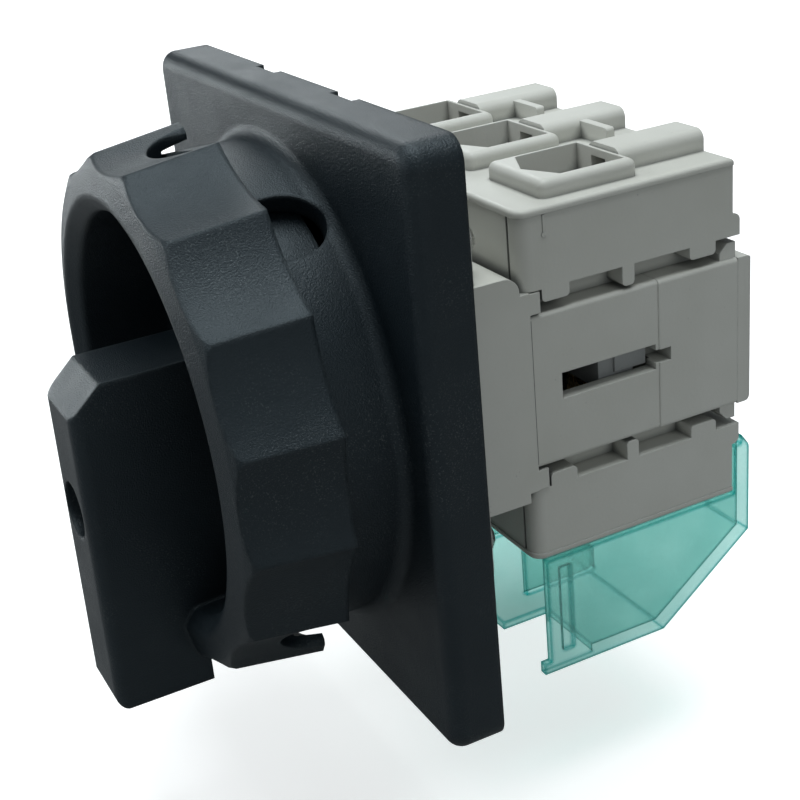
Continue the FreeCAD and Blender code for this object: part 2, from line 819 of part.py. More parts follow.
def front_housing():
    """Mechanism housing with its fixing lugs, the rotor's bearing and the clip arms."""
    body = new_body("front_housing")
    half = "body_width / 2"
    shell = pad(body, "shell", "XZ_Plane", "panel_room", "front_rear",
                box_outline(f"-{half}", half, "-front_bottom", "front_top"))
    front = "block_front - block_gap"
    step = pocket(body, "block_room", "XZ_Plane", front, "front_rear",
                  box_outline(f"-{half}", half, "block_low", "front_top"),
                  box_outline(f"-{half}", half, "-front_bottom", "-block_low"))
    round_off(body, step, "top_edges", "front_round",
              pick(step, {"y": front, "z": "front_top"}))
    lug = "fixing_pitch / 2 + lug_radius"
    inner = "fixing_pitch / 2 - lug_radius"
    outlines = []
    for sign in ("", "-"):
        low, high = (f"-({lug})", f"-({inner})") if sign else (inner, lug)
        outlines.append(box_outline(low, high, f"front_top - {PAST}", lug))
        outlines.append(box_outline(low, high, f"-({lug})", f"-(front_bottom - {PAST})"))
    lugs = pad(body, "lugs", "XZ_Plane", "panel_room", "panel_room + lug_thickness", *outlines)
    round_off(body, lugs, "lug_corners", "lug_radius / 2", pick(lugs, {"wide": lug, "tall": lug}))
    pocket(body, "lug_holes", "XZ_Plane", "panel_room", "panel_room + lug_thickness",
           *[(x, z, "thread_radius + screw_gap") for x, z in corner_places().values()])
    wall = "shell_wall"
    inside = f"({half} - {wall})"
    pocket(body, "cavity", "XZ_Plane", "panel_room + shell_wall", "front_rear",
           box_outline(f"-{inside}", inside, f"-(block_low - {wall})", f"block_low - {wall}"))
    pocket(body, "bearing", "XZ_Plane", "panel_room", "front_rear",
           ("0", "0", "journal_radius + running_gap"))
    leaf_posts(body)
    clip_arms(body)
    return body


def leaf_posts(body):
    """Posts inside, above and below each detent spring's ends."""
    inner, outer = "flange_radius + leaf_gap - post_width / 2", "flange_radius + leaf_gap + post_width / 2"
    low, high = "leaf_half", "leaf_half + post_height"
    posts = []
    for across_low, across_high in ((inner, outer), (f"-({outer})", f"-({inner})")):
        posts.append(box_outline(across_low, across_high, low, high))
        posts.append(box_outline(across_low, across_high, f"-({high})", f"-({low})"))
    pad(body, "leaf_posts", "XZ_Plane", "panel_room + shell_wall / 2", "rotor_front + post_depth", *posts)


def clip_arms(body):
    low, high = "body_width / 2 - clip_arm_length", "body_width / 2"
    arms = []
    for across_low, across_high in ((low, high), (f"-({high})", f"-({low})")):
        arms.append(box_outline(across_low, across_high, "clip_arm_inner", "clip_arm_outer"))
        arms.append(box_outline(across_low, across_high, "-clip_arm_outer", "-clip_arm_inner"))
    pad(body, "clip_arms", "XZ_Plane", "front_rear - shell_wall", "clip_arm_rear", *arms)


def detent_springs():
    """Two leaf springs, one at each side of the rotor's flange."""
    body = new_body("detent_springs", loose=True)
    low = "flange_radius + leaf_gap"
    high = f"{low} + leaf_thickness"
    for name, across_low, across_high in (("right", low, high), ("left", f"-({high})", f"-({low})")):
        pad(body, name, "XZ_Plane", "rotor_front", "rotor_front + leaf_width",
            box_outline(across_low, across_high, "-leaf_half", "leaf_half"))
    return body


def rotor_cam():
    """Rotor with a detent flange and two helical grooves that carry the contact carrier's pins."""
    body = new_body("rotor_cam")
    turned(body, "rotor", [
        ("panel_room + joint_gap", "0"),
        ("panel_room + joint_gap", "journal_radius"),
        ("rotor_front", "journal_radius"),
        ("rotor_front", "flange_radius"),
        ("rotor_front + flange_thickness", "flange_radius"),
        ("rotor_front + flange_thickness", "rotor_radius"),
        ("rotor_rear", "rotor_radius"),
        ("rotor_rear", "0"),
    ])
    half = "shaft_side / 2 + shaft_gap"
    far, flat = f"flange_radius + {PAST}", "flange_flat"
    pocket(body, "flats", "XZ_Plane", "rotor_front", "rotor_front + flange_thickness",
           box_outline(flat, far, f"-({far})", far), box_outline(f"-({far})", f"-{flat}", f"-({far})", far))
    pocket(body, "shaft_hole", "XZ_Plane", "panel_room", "rotor_rear",
           box_outline(f"-({half})", half, f"-({half})", half))
    for name, turn in (("right", "360 - run_out_angle"), ("left", "180 - run_out_angle")):
        helical_groove(body, f"{name}_groove", turn)
    return body


def helical_groove(body, name, turn):
    rise = "carrier_travel / switch_angle"
    start = f"pin_rest - carrier_travel - run_out_angle * {rise}"
    sketch = new_sketch(body, f"{name}_profile", "YZ_Plane")
    sketch.AttachmentOffset = FreeCAD.Placement(
        FreeCAD.Vector(), FreeCAD.Rotation(FreeCAD.Vector(1, 0, 0), size(turn)))
    draw_polygon(sketch, box_outline(f"{start} - groove_width / 2", f"{start} + groove_width / 2",
                                     "rotor_radius - groove_depth", "rotor_radius + pin_gap"))
    groove = body.newObject("PartDesign::SubtractiveHelix", name)
    groove.Profile = sketch
    groove.ReferenceAxis = (sketch, ["H_Axis"])
    groove.Mode = 0
    groove.setExpression("Pitch", ref(f"360 * {rise}"))
    groove.setExpression("Height", ref(f"(switch_angle + 2 * run_out_angle) * {rise}"))
    sketch.Visibility = False
    return made(body, groove, cut=True)


def contact_carrier():
    """Slides in the middle housing: a beam with a window for each bridge and two arms with pins."""
    body = new_body("contact_carrier")
    end = "body_width / 2 - side_step - shell_wall - beam_gap"
    beam = pad(body, "beam", "XZ_Plane", "beam_front", "beam_rear",
               box_outline(f"-({end})", end, "-beam_half", "beam_half"))
    tip, root = "body_width / 2 - side_lug_depth", f"{end} - 2 * side_lug_depth"
    pad(body, "side_lugs", "XZ_Plane", "side_lug_front", "side_lug_rear",
        box_outline(root, tip, "-lug_half", "lug_half"),
        box_outline(f"-({tip})", f"-({root})", "-lug_half", "lug_half"))
    pocket(body, "windows", "XY_Plane", "-beam_half", "beam_half",
           *[box_outline(f"{pole} - window_half", f"{pole} + window_half",
                         "bridge_front", "beam_rear - beam_wall")
             for pole in POLES.values()])
    inner = "rotor_radius + arm_gap"
    arms = [box_outline(inner, f"{inner} + arm_thickness", "-arm_half", "arm_half"),
            box_outline(f"-({inner} + arm_thickness)", f"-({inner})", "-arm_half", "arm_half")]
    pad(body, "arms", "XZ_Plane", "pin_rest - pin_radius - arm_gap", "beam_front + arm_gap", *arms)
    reach = "rotor_radius - groove_depth + pin_gap"
    pad(body, "right_pin", "YZ_Plane", reach, f"{inner} + arm_gap", ("pin_rest", "0", "pin_radius"))
    pad(body, "left_pin", "YZ_Plane", f"-({inner} + arm_gap)", f"-({reach})", ("pin_rest", "0", "pin_radius"))
    return body


def bridge_contact(side, pole):
    body = new_body(f"bridge_contact_{side}")
    pad(body, "strip", "XZ_Plane", "bridge_front", "bridge_front + bridge_thickness",
        box_outline(f"{pole} - bridge_half", f"{pole} + bridge_half", "-bridge_reach", "bridge_reach"))
    pad(body, "tips", "XZ_Plane", "bridge_front - tip_thickness", "bridge_front",
        (pole, "tip_height", "tip_radius"), (pole, "-tip_height", "tip_radius"))
    return body


def contact_spring(side, pole):
    """Coil spring between a bridge and the rear wall of its window."""
    start = size("bridge_front + bridge_thickness + spring_wire / 2")
    length = size("beam_rear - beam_wall - spring_wire / 2") - start
    coil = size("spring_radius")
    path = Part.makeHelix(length / size("spring_turns"), length, coil)
    half = size("spring_wire") / 2
    corners = [FreeCAD.Vector(coil + dx, 0, dz) for dx, dz in
               ((-half, -half), (half, -half), (half, half), (-half, half))]
    section = Part.makePolygon(corners + corners[:1])
    shape = Part.Wire(path.Edges).makePipeShell([section], True, True)
    feature = doc.addObject("Part::Feature", f"contact_spring_{side}")
    feature.Label = f"contact_spring_{side}"
    feature.Shape = shape
    feature.Placement = FreeCAD.Placement(
        FreeCAD.Vector(size(pole), start, 0), FreeCAD.Rotation(FreeCAD.Vector(1, 0, 0), -90))
    SUB_PARTS.append(feature)
    return feature


def middle_housing():
    """Contact housing, a little narrower than its neighbours; a slot in each side shows the carrier."""
    body = new_body("middle_housing")
    half, wall = "body_width / 2 - side_step", "shell_wall"
    high = f"middle_top - {wall}"
    shell = pad(body, "shell", "XZ_Plane", "front_rear", "middle_rear",
                box_outline(f"-({half})", half, "-middle_top", "middle_top"))
    round_off(body, shell, "long_edges", "side_round", pick(shell, {"wide": half, "tall": "middle_top"}))
    pocket(body, "cavity", "XZ_Plane", f"front_rear + {wall}", "middle_rear",
           box_outline(f"-({half} - {wall})", f"{half} - {wall}", f"-({high})", high))
    room = "rotor_radius + 2 * arm_gap + arm_thickness"
    pocket(body, "rotor_opening", "XZ_Plane", "front_rear", f"front_rear + {wall}",
           box_outline(f"-({room})", room, f"-({high})", high))
    pocket(body, "side_slots", "YZ_Plane", f"-({half})", half,
           box_outline("slot_start", "slot_end", "-slot_half", "slot_half"))
    pocket(body, "slot_notches", "YZ_Plane", f"-({half})", half,
           box_outline("slot_end - joint_gap", "middle_rear", "-rear_notch_half", "rear_notch_half"))
    pocket(body, "contact_slots", "XY_Plane", "-middle_top", "middle_top",
           *[contact_room(pole) for pole in POLES.values()])
    return body


def contact_room(pole):
    """Outline of the slot that a fixed contact passes."""
    half = "contact_width / 2 + joint_gap"
    return box_outline(f"{pole} - ({half})", f"{pole} + {half}", f"{CONTACT_FRONT} - joint_gap",
                       f"{CONTACT_FRONT} + contact_thickness + joint_gap")


def rear_housing():
    """Spring and arc housing, closed by the rear cover, with a catch above and below."""
    body = new_body("rear_housing")
    half, wall = "body_width / 2", "shell_wall"
    high = f"middle_top - {wall}"
    shell = pad(body, "shell", "XZ_Plane", "middle_rear", "rear_end",
                box_outline(f"-{half}", half, "-middle_top", "middle_top"))
    long_edges = round_off(body, shell, "long_edges", "side_round",
                           pick(shell, {"wide": half, "tall": "middle_top"}))
    round_off(body, long_edges, "seam", "seam_round", pick(long_edges, {"y": "middle_rear"}))
    catches(body)
    pocket(body, "cavity", "XZ_Plane", f"middle_rear + {wall}", "rear_end",
           box_outline(f"-({half} - {wall})", f"{half} - {wall}", f"-({high})", high))
    notch = box_outline("middle_rear - joint_gap", "middle_rear + rear_notch_length",
                        "-rear_notch_half", "rear_notch_half")
    pocket(body, "right_notch", "YZ_Plane", f"{half} - rear_notch_depth", half, notch)
    pocket(body, "left_notch", "YZ_Plane", f"-{half}", f"-({half} - rear_notch_depth)", notch)
    return body


def catches(body):
    """Sloped catches along the top and the bottom, where the terminal blocks end."""
    half = "body_width / 2 - side_round"
    for name, side in (("upper_catch", UPPER), ("lower_catch", LOWER)):
        pad(body, name, "YZ_Plane", f"-({half})", half, [
            ("heel_start", f"{side} * (middle_top - heel_foot)"),
            ("heel_start", f"{side} * (middle_top + heel_foot)"),
            ("heel_start + heel_slope", f"{side} * (middle_top + heel_rise)"),
            ("rear_end", f"{side} * (middle_top + heel_rise)"),
            ("rear_end", f"{side} * (middle_top - heel_foot)"),
        ])


def rear_cover():
    body = new_body("rear_cover")
    half, wall = "body_width / 2", "shell_wall"
    slab = pad(body, "slab", "XZ_Plane", "rear_end", "cover_end",
               box_outline(f"-{half}", half, "-middle_top", "middle_top"))
    round_off(body, slab, "corners", "cover_round", pick(slab, {"y": "cover_end"}))
    rim = f"{half} - {wall} - joint_gap"
    height = f"middle_top - {wall} - joint_gap"
    pad(body, "plug", "XZ_Plane", f"rear_end - {wall}", "rear_end + joint_gap",
        box_outline(f"-({rim})", rim, f"-({height})", height))
    return body


def up_and_down(side, low, high):
    """Two heights of the upper block, or the same turned over for the lower one, lowest first."""
    return (low, high) if side == UPPER else (f"-({high})", f"-({low})")


def terminal_block(name, side):
    """Block of three terminals: wire entries at the outside, screw tunnels open at the rear."""
    body = new_body(name)
    half = BLOCK_HALF

    def level(low, high):
        return up_and_down(side, low, high)

    core = pad(body, "core", "XY_Plane", *level("block_low", "block_top"),
               box_outline(f"-{half}", half, "block_front", "block_rear"))
    round_off(body, core, "corners", "block_corner", pick(core, {"wide": half, "y": "block_front"}))
    pad(body, "foot", "XY_Plane", *level("middle_top", "block_low + tab_round"),
        box_outline(f"-({half} - tab_thickness)", f"{half} - tab_thickness",
                    "front_tab_start", "rear_tab_end"))
    lip_on_block(body, side, level)
    ear = pad(body, "ear", "XY_Plane", *level("block_low", "ear_high"),
              box_outline(f"-{half}", half, "block_rear - ear_out", "block_rear + ear_out"))
    round_off(body, ear, "ear_edge", "ear_round",
              pick(ear, {"y": "block_rear + ear_out", "z": f"{side} * ear_high"}))
    tabs(body, side, level)
    entries(body, side, level)
    ridges(body, side, level)
    chambers(body, side, level)
    face_grooves(body, level)
    return body


def lip_on_block(body, side, level):
    """The block's outer edge stands proud by a hair and is rounded."""
    half = f"{BLOCK_HALF} + block_lip_out"
    front = "block_front - block_lip_out"
    lip = pad(body, "lip", "XY_Plane", *level("block_top - block_lip", "block_top"),
              box_outline(f"-({half})", half, front, "block_rear"))
    corners = round_off(body, lip, "lip_corners", "block_corner", pick(lip, {"wide": half, "y": front}))
    round_off(body, corners, "lip_edge", "block_lip_round", pick(corners, {"z": f"{side} * block_top"}))


def face_grooves(body, level):
    """Shallow upright grooves on the front face, near its corners."""
    low, high = level("block_low", "block_top - block_lip")
    outer = f"{BLOCK_HALF} - face_groove_inset + face_groove_width / 2"
    inner = f"{outer} - face_groove_width"
    pocket(body, "face_grooves", "XZ_Plane", "block_front", "block_front + face_groove_depth",
           box_outline(inner, outer, low, high), box_outline(f"-({outer})", f"-({inner})", low, high))


def tabs(body, side, level):
    """Small tabs and a peg at each side, between the block and the housing."""
    outer = BLOCK_HALF
    inner = f"{outer} - tab_thickness - tab_round"
    for part, start, end, rise in (("front_tabs", "front_tab_start", "front_tab_end", "tab_rise"),
                                   ("rear_tabs", "rear_tab_start", "rear_tab_end", "tab_rise"),
                                   ("pegs", "peg_start", "peg_end", "peg_rise")):
        low = f"middle_top + {rise}"
        made_tabs = pad(body, part, "XY_Plane", *level(low, "block_low + tab_round"),
                        box_outline(inner, outer, start, end),
                        box_outline(f"-({outer})", f"-({inner})", start, end))
        foot = f"{side} * ({low})"
        round_off(body, made_tabs, f"{part}_rounding", "tab_round",
                  pick(made_tabs, {"y": start, "z": foot}, {"y": end, "z": foot}))


def entries(body, side, level):
    """Raised frames round the wire entries."""
    half = "entry_width / 2"
    root = "block_top - block_lip_round"
    frames = pad(body, "entry_frames", "XY_Plane", *level(root, "block_top + entry_rise"),
                 *[box_outline(f"{pole} - {half}", f"{pole} + {half}", "entry_start", "entry_end")
                   for pole in POLES.values()])
    places = [{"z": f"{side} * (block_top + entry_rise)"}]
    for pole in POLES.values():
        for across in (f"{pole} - {half}", f"{pole} + {half}"):
            places += [{"x": across, "y": "entry_start"}, {"x": across, "y": "entry_end"}]
    round_off(body, frames, "entry_edges", "entry_round", pick(frames, *places))


def ridges(body, side, level):
    """Rounded ridges over the screw tunnels, with a short cross rib beside two of them."""
    root = "block_top - block_lip_round"
    start, inner = "entry_end - entry_wall / 2", "ridge_half - ridge_top_round"
    shoulder = f"{side} * (block_top + ridge_rise - ridge_top_round)"
    for name, half, rise in (("ridge_flanks", "ridge_half", "ridge_rise - ridge_top_round"),
                             ("ridge_tops", f"({inner})", "ridge_rise")):
        pad(body, name, "XY_Plane", *level(root, f"block_top + {rise}"),
            *[box_outline(f"{pole} - {half}", f"{pole} + {half}", start, "ridge_end")
              for pole in POLES.values()])
    pad(body, "ridge_shoulders", "XZ_Plane", start, "ridge_end",
        *[(f"{pole} {sign} ({inner})", shoulder, "ridge_top_round")
          for pole in POLES.values() for sign in "+-"])
    left_poles = (POLES["left"], POLES["middle"])
    ribs = pad(body, "cross_ribs", "XY_Plane", *level(root, "block_top + rib_rise"),
               *[box_outline(f"{pole} + ridge_half - ridge_top_round", f"{pole} + ridge_half + rib_length",
                             "rib_start", "rib_start + rib_thickness")
                 for pole in left_poles])
    ends = [{"x": f"{pole} + ridge_half + rib_length", "z": f"{side} * (block_top + rib_rise)"}
            for pole in left_poles]
    round_off(body, ribs, "rib_ends", "rib_round", pick(ribs, *ends))


def chambers(body, side, level):
    """Clamp chambers, five-sided wire entries with a probe hole, contact slots and screw tunnels."""
    room = "clamp_half + clamp_gap"
    front = f"{CONTACT_FRONT} - joint_gap - clamp_wall - clamp_gap"
    pocket(body, "clamp_chambers", "XY_Plane", *level("clamp_low - clamp_gap", "clamp_top + clamp_gap"),
           *[box_outline(f"{pole} - ({room})", f"{pole} + {room}", front, "clamp_rear + clamp_gap")
             for pole in POLES.values()])
    half = "entry_width / 2 - entry_wall"
    pocket(body, "wire_entries", "XY_Plane", *level("clamp_top", "block_top + entry_rise"),
           *[[(f"{pole} - ({half})", "entry_corner"),
              (pole, "entry_start + entry_wall"),
              (f"{pole} + {half}", "entry_corner"),
              (f"{pole} + {half}", "entry_end - entry_wall"),
              (f"{pole} - ({half})", "entry_end - entry_wall")] for pole in POLES.values()])
    inner_rear = "entry_end - entry_wall"
    probe = level("probe_low", "probe_high")
    pocket(body, "probe_holes", "XZ_Plane", inner_rear, f"{inner_rear} + probe_depth",
           *[box_outline(f"{pole} - probe_left", f"{pole} + probe_right", *probe)
             for pole in POLES.values()])
    pocket(body, "contact_slots", "XY_Plane", *level("middle_top", "clamp_low"),
           *[contact_room(pole) for pole in POLES.values()])
    pocket(body, "screw_tunnels", "XZ_Plane", "clamp_rear", "block_rear + ear_out",
           *[(pole, f"{side} * clamp_screw_height", "clamp_screw_head + tunnel_gap")
             for pole in POLES.values()])


def fixed_contact(place, side, name, pole):
    body = new_body(f"{place}_contact_{name}")
    half = "contact_width / 2"
    low, high = up_and_down(side, "contact_low", "contact_top")
    pad(body, "strip", "XZ_Plane", CONTACT_FRONT, f"{CONTACT_FRONT} + contact_thickness",
        box_outline(f"{pole} - {half}", f"{pole} + {half}", low, high))
    pad(body, "tip", "XZ_Plane", f"{CONTACT_FRONT} + contact_thickness",
        f"{CONTACT_FRONT} + contact_thickness + tip_thickness", (pole, f"{side} * tip_height", "tip_radius"))
    return body


def terminal_clamps(name, side):
    """Cage clamps: a bent steel frame round each wire entry, with a threaded rear wall."""
    body = new_body(name, loose=True)
    low, high = up_and_down(side, "clamp_low", "clamp_top")
    front = f"{CONTACT_FRONT} - joint_gap"
    for place, pole in POLES.items():
        pad(body, f"{place}_cage", "XY_Plane", low, high,
            box_outline(f"{pole} - clamp_half", f"{pole} + clamp_half",
                        f"{front} - clamp_wall", "clamp_rear"),
            box_outline(f"{pole} - (clamp_half - clamp_wall)", f"{pole} + (clamp_half - clamp_wall)",
                        front, "clamp_rear - clamp_wall"))
        pocket(body, f"{place}_thread", "XZ_Plane", "clamp_rear - clamp_wall", "clamp_rear",
               (pole, f"{side} * clamp_screw_height", "clamp_screw_radius + running_gap"))
    return body


def terminal_screws(name, side):
    body = new_body(name, loose=True)
    for place, pole in POLES.items():
        turned(body, place, [
            ("clamp_screw_tip", "0"),
            ("clamp_screw_tip", "clamp_screw_radius"),
            ("clamp_screw_end - clamp_screw_head_length", "clamp_screw_radius"),
            ("clamp_screw_end - clamp_screw_head_length", "clamp_screw_head"),
            ("clamp_screw_end", "clamp_screw_head"),
            ("clamp_screw_end", "0"),
        ], pole, f"{side} * clamp_screw_height")
    return body


def terminal_cover():
    """Clear shroud under the lower block, open towards the block and the panel."""
    body = new_body("terminal_cover")
    half, wall = "body_width / 2", "cover_wall"
    inner_rear = "block_rear + ear_out + cover_gap"
    shell = pad(body, "shell", "YZ_Plane", f"-{half}", half, [
        ("cover_front", "-cover_top"),
        ("cover_front", "-cover_bottom"),
        ("cover_bend", "-cover_bottom"),
        ("cover_rear", "-cover_heel_height"),
        ("cover_rear", "-cover_rise"),
        (inner_rear, "-cover_peak"),
        (inner_rear, "-(ear_high + cover_gap)"),
        ("block_rear + cover_gap", "-(ear_high + cover_gap)"),
        ("block_rear + cover_gap", "-cover_top"),
    ])
    round_off(body, shell, "top_corner", "cover_top_round",
              pick(shell, {"y": "cover_rear", "z": "-cover_rise"}))
    inside = f"{half} - {wall}"
    pocket(body, "hollow", "YZ_Plane", f"-({inside})", inside, [
        (f"cover_front - {PAST}", f"-(cover_peak - {PAST})"),
        (f"cover_front - {PAST}", f"-(cover_bottom - {wall})"),
        (f"cover_bend - {wall} / 2", f"-(cover_bottom - {wall})"),
        (f"cover_rear - {wall}", f"-(cover_heel_height - {wall} / 2)"),
        (f"cover_rear - {wall}", f"-(cover_peak - {PAST})"),
    ])
    exit_inner = f"({inside} - exit_width)"
    pocket(body, "cable_exits", "XY_Plane", "-cover_bottom", f"-(cover_bottom - {wall})",
           box_outline(exit_inner, inside, "cover_front", "cover_front + exit_depth"),
           box_outline(f"-({inside})", f"-{exit_inner}", "cover_front", "cover_front + exit_depth"))
    cover_ribs(body)
    return body


def cover_ribs(body):
    """Partitions between the poles, a bead inside each side wall and a foot at each front corner."""
    half, wall = "body_width / 2", "cover_wall"
    thin = "partition_thickness / 2"
    partitions = [box_outline(f"{middle} - {thin}", f"{middle} + {thin}", "partition_front", "cover_bend")
                  for middle in (f"{PITCH} / 2", f"-{PITCH} / 2")]
    pad(body, "partitions", "XY_Plane", f"-(cover_bottom - {wall} / 2)",
        "-(block_top + ridge_rise + 2 * cover_gap)", *partitions)
    face = f"{half} - {wall}"
    low, high = f"{face} - bead_thickness", f"{face} + {wall} / 2"
    pad(body, "beads", "XY_Plane", "-bead_low", "-bead_high",
        box_outline(low, high, "bead_start", "bead_end"),
        box_outline(f"-({high})", f"-({low})", "bead_start", "bead_end"))
    start, end = "cover_front - cover_foot_out", f"cover_front + {wall} / 2"
    pad(body, "feet", "XY_Plane", "-cover_bottom", "-(cover_bottom - cover_foot_high)",
        box_outline(face, half, start, end), box_outline(f"-{half}", f"-({face})", start, end))


def build():
    masking_plate()
    fixing_plate()
    fixing_screws()
    panel_gasket()
    shaft_seal()
    handle_knob()
    handle_screw()
    handle_hub()
    hub_circlip()
    drive_shaft()
    rotor_cam()
    front_housing()
    detent_springs()
    middle_housing()
    rear_housing()
    rear_cover()
    contact_carrier()
    for side, pole in POLES.items():
        bridge_contact(side, pole)
        contact_spring(side, pole)
    for place, side in (("upper", UPPER), ("lower", LOWER)):
        terminal_block(f"{place}_terminal_block", side)
        for name, pole in POLES.items():
            fixed_contact(place, side, name, pole)
        terminal_clamps(f"{place}_terminal_clamps", side)
        terminal_screws(f"{place}_terminal_screws", side)
    terminal_cover()


def check():
    """Stops if any object failed or any sub-part has no sound shape."""
    doc.recompute()
    for item in doc.Objects:
        if {"Invalid", "Error"} & set(item.State):
            raise RuntimeError(f"{item.Label}: {item.State}")
    for part in SUB_PARTS:
        if part.Shape.isNull() or not part.Shape.isValid() or not part.Shape.Solids:
            raise RuntimeError(f"{part.Label}: no sound shape")


def export():
    os.makedirs("parts", exist_ok=True)
    for part in SUB_PARTS:
        part.Shape.exportStep(f"parts/{part.Label}.step")
        print(f"{part.Label}: {len(part.Shape.Solids)} solids, {part.Shape.Volume:.1f} mm3")


build()
check()
export()
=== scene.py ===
import json
import math

import bmesh
import bpy
from mathutils import Matrix, Vector


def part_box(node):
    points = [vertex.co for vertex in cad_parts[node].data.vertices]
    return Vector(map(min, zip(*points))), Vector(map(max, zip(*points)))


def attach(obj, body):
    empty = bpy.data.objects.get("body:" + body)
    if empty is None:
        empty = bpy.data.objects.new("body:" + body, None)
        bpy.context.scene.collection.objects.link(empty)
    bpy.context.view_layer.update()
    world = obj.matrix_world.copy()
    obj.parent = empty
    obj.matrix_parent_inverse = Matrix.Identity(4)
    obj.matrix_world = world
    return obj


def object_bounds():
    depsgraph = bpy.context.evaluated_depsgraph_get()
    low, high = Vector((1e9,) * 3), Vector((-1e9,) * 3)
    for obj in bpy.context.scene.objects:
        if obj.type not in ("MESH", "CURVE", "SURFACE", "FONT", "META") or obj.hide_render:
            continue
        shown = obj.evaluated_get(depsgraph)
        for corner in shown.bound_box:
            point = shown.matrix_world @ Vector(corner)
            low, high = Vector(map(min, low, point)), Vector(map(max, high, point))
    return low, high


# Rotary main switch for a panel, dressed round its CAD frame. Lengths are in metres, the shaft lies along Y,
# the handle points to -Y and +Z is up.

MM = 0.001

# The photograph's view, fitted to corners of the plate and the body
CAMERA_PLACE = Vector((0.14715, -0.06357, 0.06725))
CAMERA_AZIMUTH = math.radians(66.01)
CAMERA_ELEVATION = math.radians(23.37)
CAMERA_ROLL = math.radians(-6.16)
CAMERA_LENS = 66.03
CAMERA_SENSOR = 36.0
CAMERA_SHIFT = (0.0547, -0.0308)
CAMERA_NEAREST = 0.01

# Square lamps with slightly cool light, all aimed at the object's middle: place, side, watts
LAMP_COLOUR = (0.93, 0.985, 1.0)
LAMPS = {
    "lamp_above": ((0.0, 0.03, 0.62), 0.45, 3.5),
    "lamp_front": ((-0.2, -0.58, 0.3), 0.4, 1.3),
    "lamp_left": ((-0.42, -0.16, 0.03), 0.13, 0.36),
    "lamp_right": ((0.5, -0.02, 0.16), 0.3, 0.26),
    "lamp_behind": ((-0.45, 0.16, 0.24), 0.2, 0.4),
}
SURROUNDING_COLOUR = (0.9, 0.97, 1.0, 1.0)
SURROUNDING_STRENGTH = 0.2

FLOOR_HALF_SIDE = 1.5
FLOOR_GAP = 1.0 * MM

# The fixing screws: their heads, and the thread that starts and ends so far before the tail's end
FIXING_HEAD_RADIUS = 3.8 * MM
THREAD_CORE = 1.75 * MM
THREAD_CREST = 2.0 * MM
THREAD_PITCH = 0.7 * MM
THREAD_START = 2.1 * MM
THREAD_END = 0.5 * MM

# The mark on the upper block's right side: how far behind the block's front, below its top and sunk in it
GATE_MARK_BACK = 3.3 * MM
GATE_MARK_DOWN = 3.4 * MM
GATE_MARK_SUNK = 0.15 * MM
GATE_MARK_LENGTH = 1.9 * MM

# Sockets of the Mix node while it mixes colours
MIX_FIRST, MIX_SECOND, MIX_RESULT = 6, 7, 2

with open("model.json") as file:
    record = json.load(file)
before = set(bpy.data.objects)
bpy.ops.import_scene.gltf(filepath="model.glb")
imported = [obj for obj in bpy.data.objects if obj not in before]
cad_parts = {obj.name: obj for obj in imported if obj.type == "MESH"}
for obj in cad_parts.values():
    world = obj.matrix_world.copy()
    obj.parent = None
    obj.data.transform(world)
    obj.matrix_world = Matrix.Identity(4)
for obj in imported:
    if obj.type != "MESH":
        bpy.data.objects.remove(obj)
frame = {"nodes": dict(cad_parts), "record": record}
cad_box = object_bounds()


# Materials: each is a tree of nodes round one Principled shader, in object coordinates (metres), so a noise
# scale of 1000 makes marks of about a millimetre

def grey(level):
    return (level, level, level)


def new_material(name):
    """A node tree with a Principled shader in it, and its socket for object coordinates."""
    made = bpy.data.materials.new(name)
    made.use_nodes = True
    tree = made.node_tree
    shader = tree.nodes["Principled BSDF"]
    place = tree.nodes.new("ShaderNodeTexCoord").outputs["Object"]
    return made, tree, shader, place


def noise(tree, place, scale, detail=4.0, roughness=0.55, stretch=None):
    """A noise pattern's factor; stretch scales the coordinates along each axis."""
    if stretch:
        mapping = tree.nodes.new("ShaderNodeMapping")
        mapping.inputs["Scale"].default_value = stretch
        tree.links.new(place, mapping.inputs["Vector"])
        place = mapping.outputs["Vector"]
    node = tree.nodes.new("ShaderNodeTexNoise")
    node.inputs["Scale"].default_value = scale
    node.inputs["Detail"].default_value = detail
    node.inputs["Roughness"].default_value = roughness
    tree.links.new(place, node.inputs["Vector"])
    return node.outputs["Fac"]


def ranged(tree, value, low, high, to_low=0.0, to_high=1.0):
    """A value whose stretch from low to high is spread from to_low to to_high, and held beyond."""
    node = tree.nodes.new("ShaderNodeMapRange")
    limits = {"From Min": low, "From Max": high, "To Min": to_low, "To Max": to_high}
    for socket, number in limits.items():
        node.inputs[socket].default_value = number
    tree.links.new(value, node.inputs["Value"])
    return node.outputs["Result"]


def clouds(tree, place, scale, detail=4.0, low=0.3, high=0.7, to_low=0.0, to_high=1.0):
    """Noise of that scale with its contrast raised."""
    return ranged(tree, noise(tree, place, scale, detail), low, high, to_low, to_high)


def mixed(tree, factor, first, second):
    """Two colours mixed by a factor; each is a tuple or a socket."""
    node = tree.nodes.new("ShaderNodeMix")
    node.data_type = "RGBA"
    tree.links.new(factor, node.inputs["Factor"])
    for socket, colour in ((node.inputs[MIX_FIRST], first), (node.inputs[MIX_SECOND], second)):
        if isinstance(colour, tuple):
            socket.default_value = (*colour, 1.0)
        else:
            tree.links.new(colour, socket)
    return node.outputs[MIX_RESULT]


def multiplied(tree, first, second):
    node = tree.nodes.new("ShaderNodeMath")
    node.operation = "MULTIPLY"
    tree.links.new(first, node.inputs[0])
    tree.links.new(second, node.inputs[1])
    return node.outputs["Value"]


def edge_normal(tree, radius):
    """The normal as if every edge were rounded by that radius."""
    node = tree.nodes.new("ShaderNodeBevel")
    node.samples = 4
    node.inputs["Radius"].default_value = radius
    return node.outputs["Normal"]


